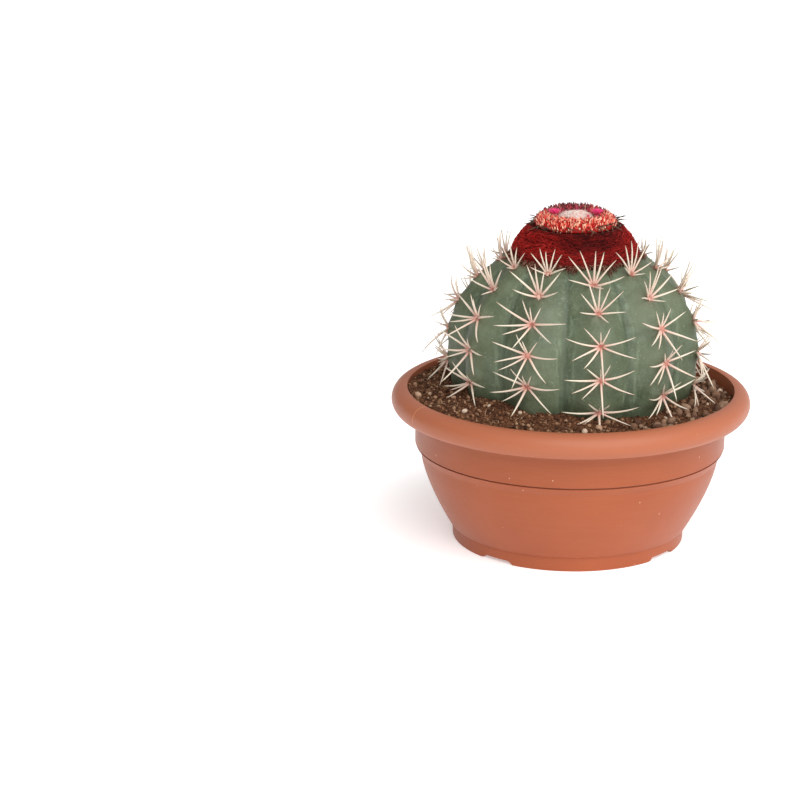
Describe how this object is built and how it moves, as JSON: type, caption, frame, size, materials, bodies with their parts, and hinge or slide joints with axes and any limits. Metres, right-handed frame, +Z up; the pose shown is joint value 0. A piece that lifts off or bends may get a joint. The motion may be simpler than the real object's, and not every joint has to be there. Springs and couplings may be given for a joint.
{
  "type": "round cactus in a bowl",
  "caption": "Round ribbed cactus with ivory spines and a red bristly cap with small flowers, potted in soil in a wide footed bowl with a rolled rim.",
  "frame": {"origin": "on the ground under the middle of the bowl's foot, which is the bottom centre of the whole object's box", "axes": "+Z up along the bowl's and the stem's axis; -Y is the front, the side with the most open view of the plant; +X to the viewer's right"},
  "size_m": [0.2, 0.2, 0.1883],
  "materials": {
    "terracotta_plastic": "satin",
    "potting_soil": "matte",
    "waxy_green_skin": "satin",
    "ivory_spine": "satin",
    "red_felt": "matte",
    "orange_red_bristle": "matte",
    "white_wool": "matte",
    "magenta_petal": "matte"
  },
  "bodies": {
    "root": {"bowl": "terracotta_plastic", "bristle_ring": "orange_red_bristle", "cactus_stem": "waxy_green_skin", "cephalium_felt": "red_felt", "flower_1": "magenta_petal", "flower_2": "magenta_petal", "flower_3": "magenta_petal", "flower_4": "magenta_petal", "soil": "potting_soil", "spines_rib01_row1": "ivory_spine", "spines_rib01_row2": "ivory_spine", "spines_rib01_row3": "ivory_spine", "spines_rib01_row4": "ivory_spine", "spines_rib01_row5": "ivory_spine", "spines_rib02_row1": "ivory_spine", "spines_rib02_row2": "ivory_spine", "spines_rib02_row3": "ivory_spine", "spines_rib02_row4": "ivory_spine", "spines_rib02_row5": "ivory_spine", "spines_rib03_row1": "ivory_spine", "spines_rib03_row2": "ivory_spine", "spines_rib03_row3": "ivory_spine", "spines_rib03_row4": "ivory_spine", "spines_rib03_row5": "ivory_spine", "spines_rib04_row1": "ivory_spine", "spines_rib04_row2": "ivory_spine", "spines_rib04_row3": "ivory_spine", "spines_rib04_row4": "ivory_spine", "spines_rib04_row5": "ivory_spine", "spines_rib05_row1": "ivory_spine", "spines_rib05_row2": "ivory_spine", "spines_rib05_row3": "ivory_spine", "spines_rib05_row4": "ivory_spine", "spines_rib05_row5": "ivory_spine", "spines_rib06_row2": "ivory_spine", "spines_rib06_row3": "ivory_spine", "spines_rib06_row4": "ivory_spine", "spines_rib06_row5": "ivory_spine", "spines_rib07_row2": "ivory_spine", "spines_rib07_row3": "ivory_spine", "spines_rib07_row4": "ivory_spine", "spines_rib07_row5": "ivory_spine", "spines_rib08_row2": "ivory_spine", "spines_rib08_row3": "ivory_spine", "spines_rib08_row4": "ivory_spine", "spines_rib08_row5": "ivory_spine", "spines_rib09_row2": "ivory_spine", "spines_rib09_row3": "ivory_spine", "spines_rib09_row4": "ivory_spine", "spines_rib09_row5": "ivory_spine", "spines_rib10_row2": "ivory_spine", "spines_rib10_row3": "ivory_spine", "spines_rib10_row4": "ivory_spine", "spines_rib10_row5": "ivory_spine", "spines_rib11_row2": "ivory_spine", "spines_rib11_row3": "ivory_spine", "spines_rib11_row4": "ivory_spine", "spines_rib11_row5": "ivory_spine", "wool_tuft": "white_wool"}
  },
  "joints": []
}
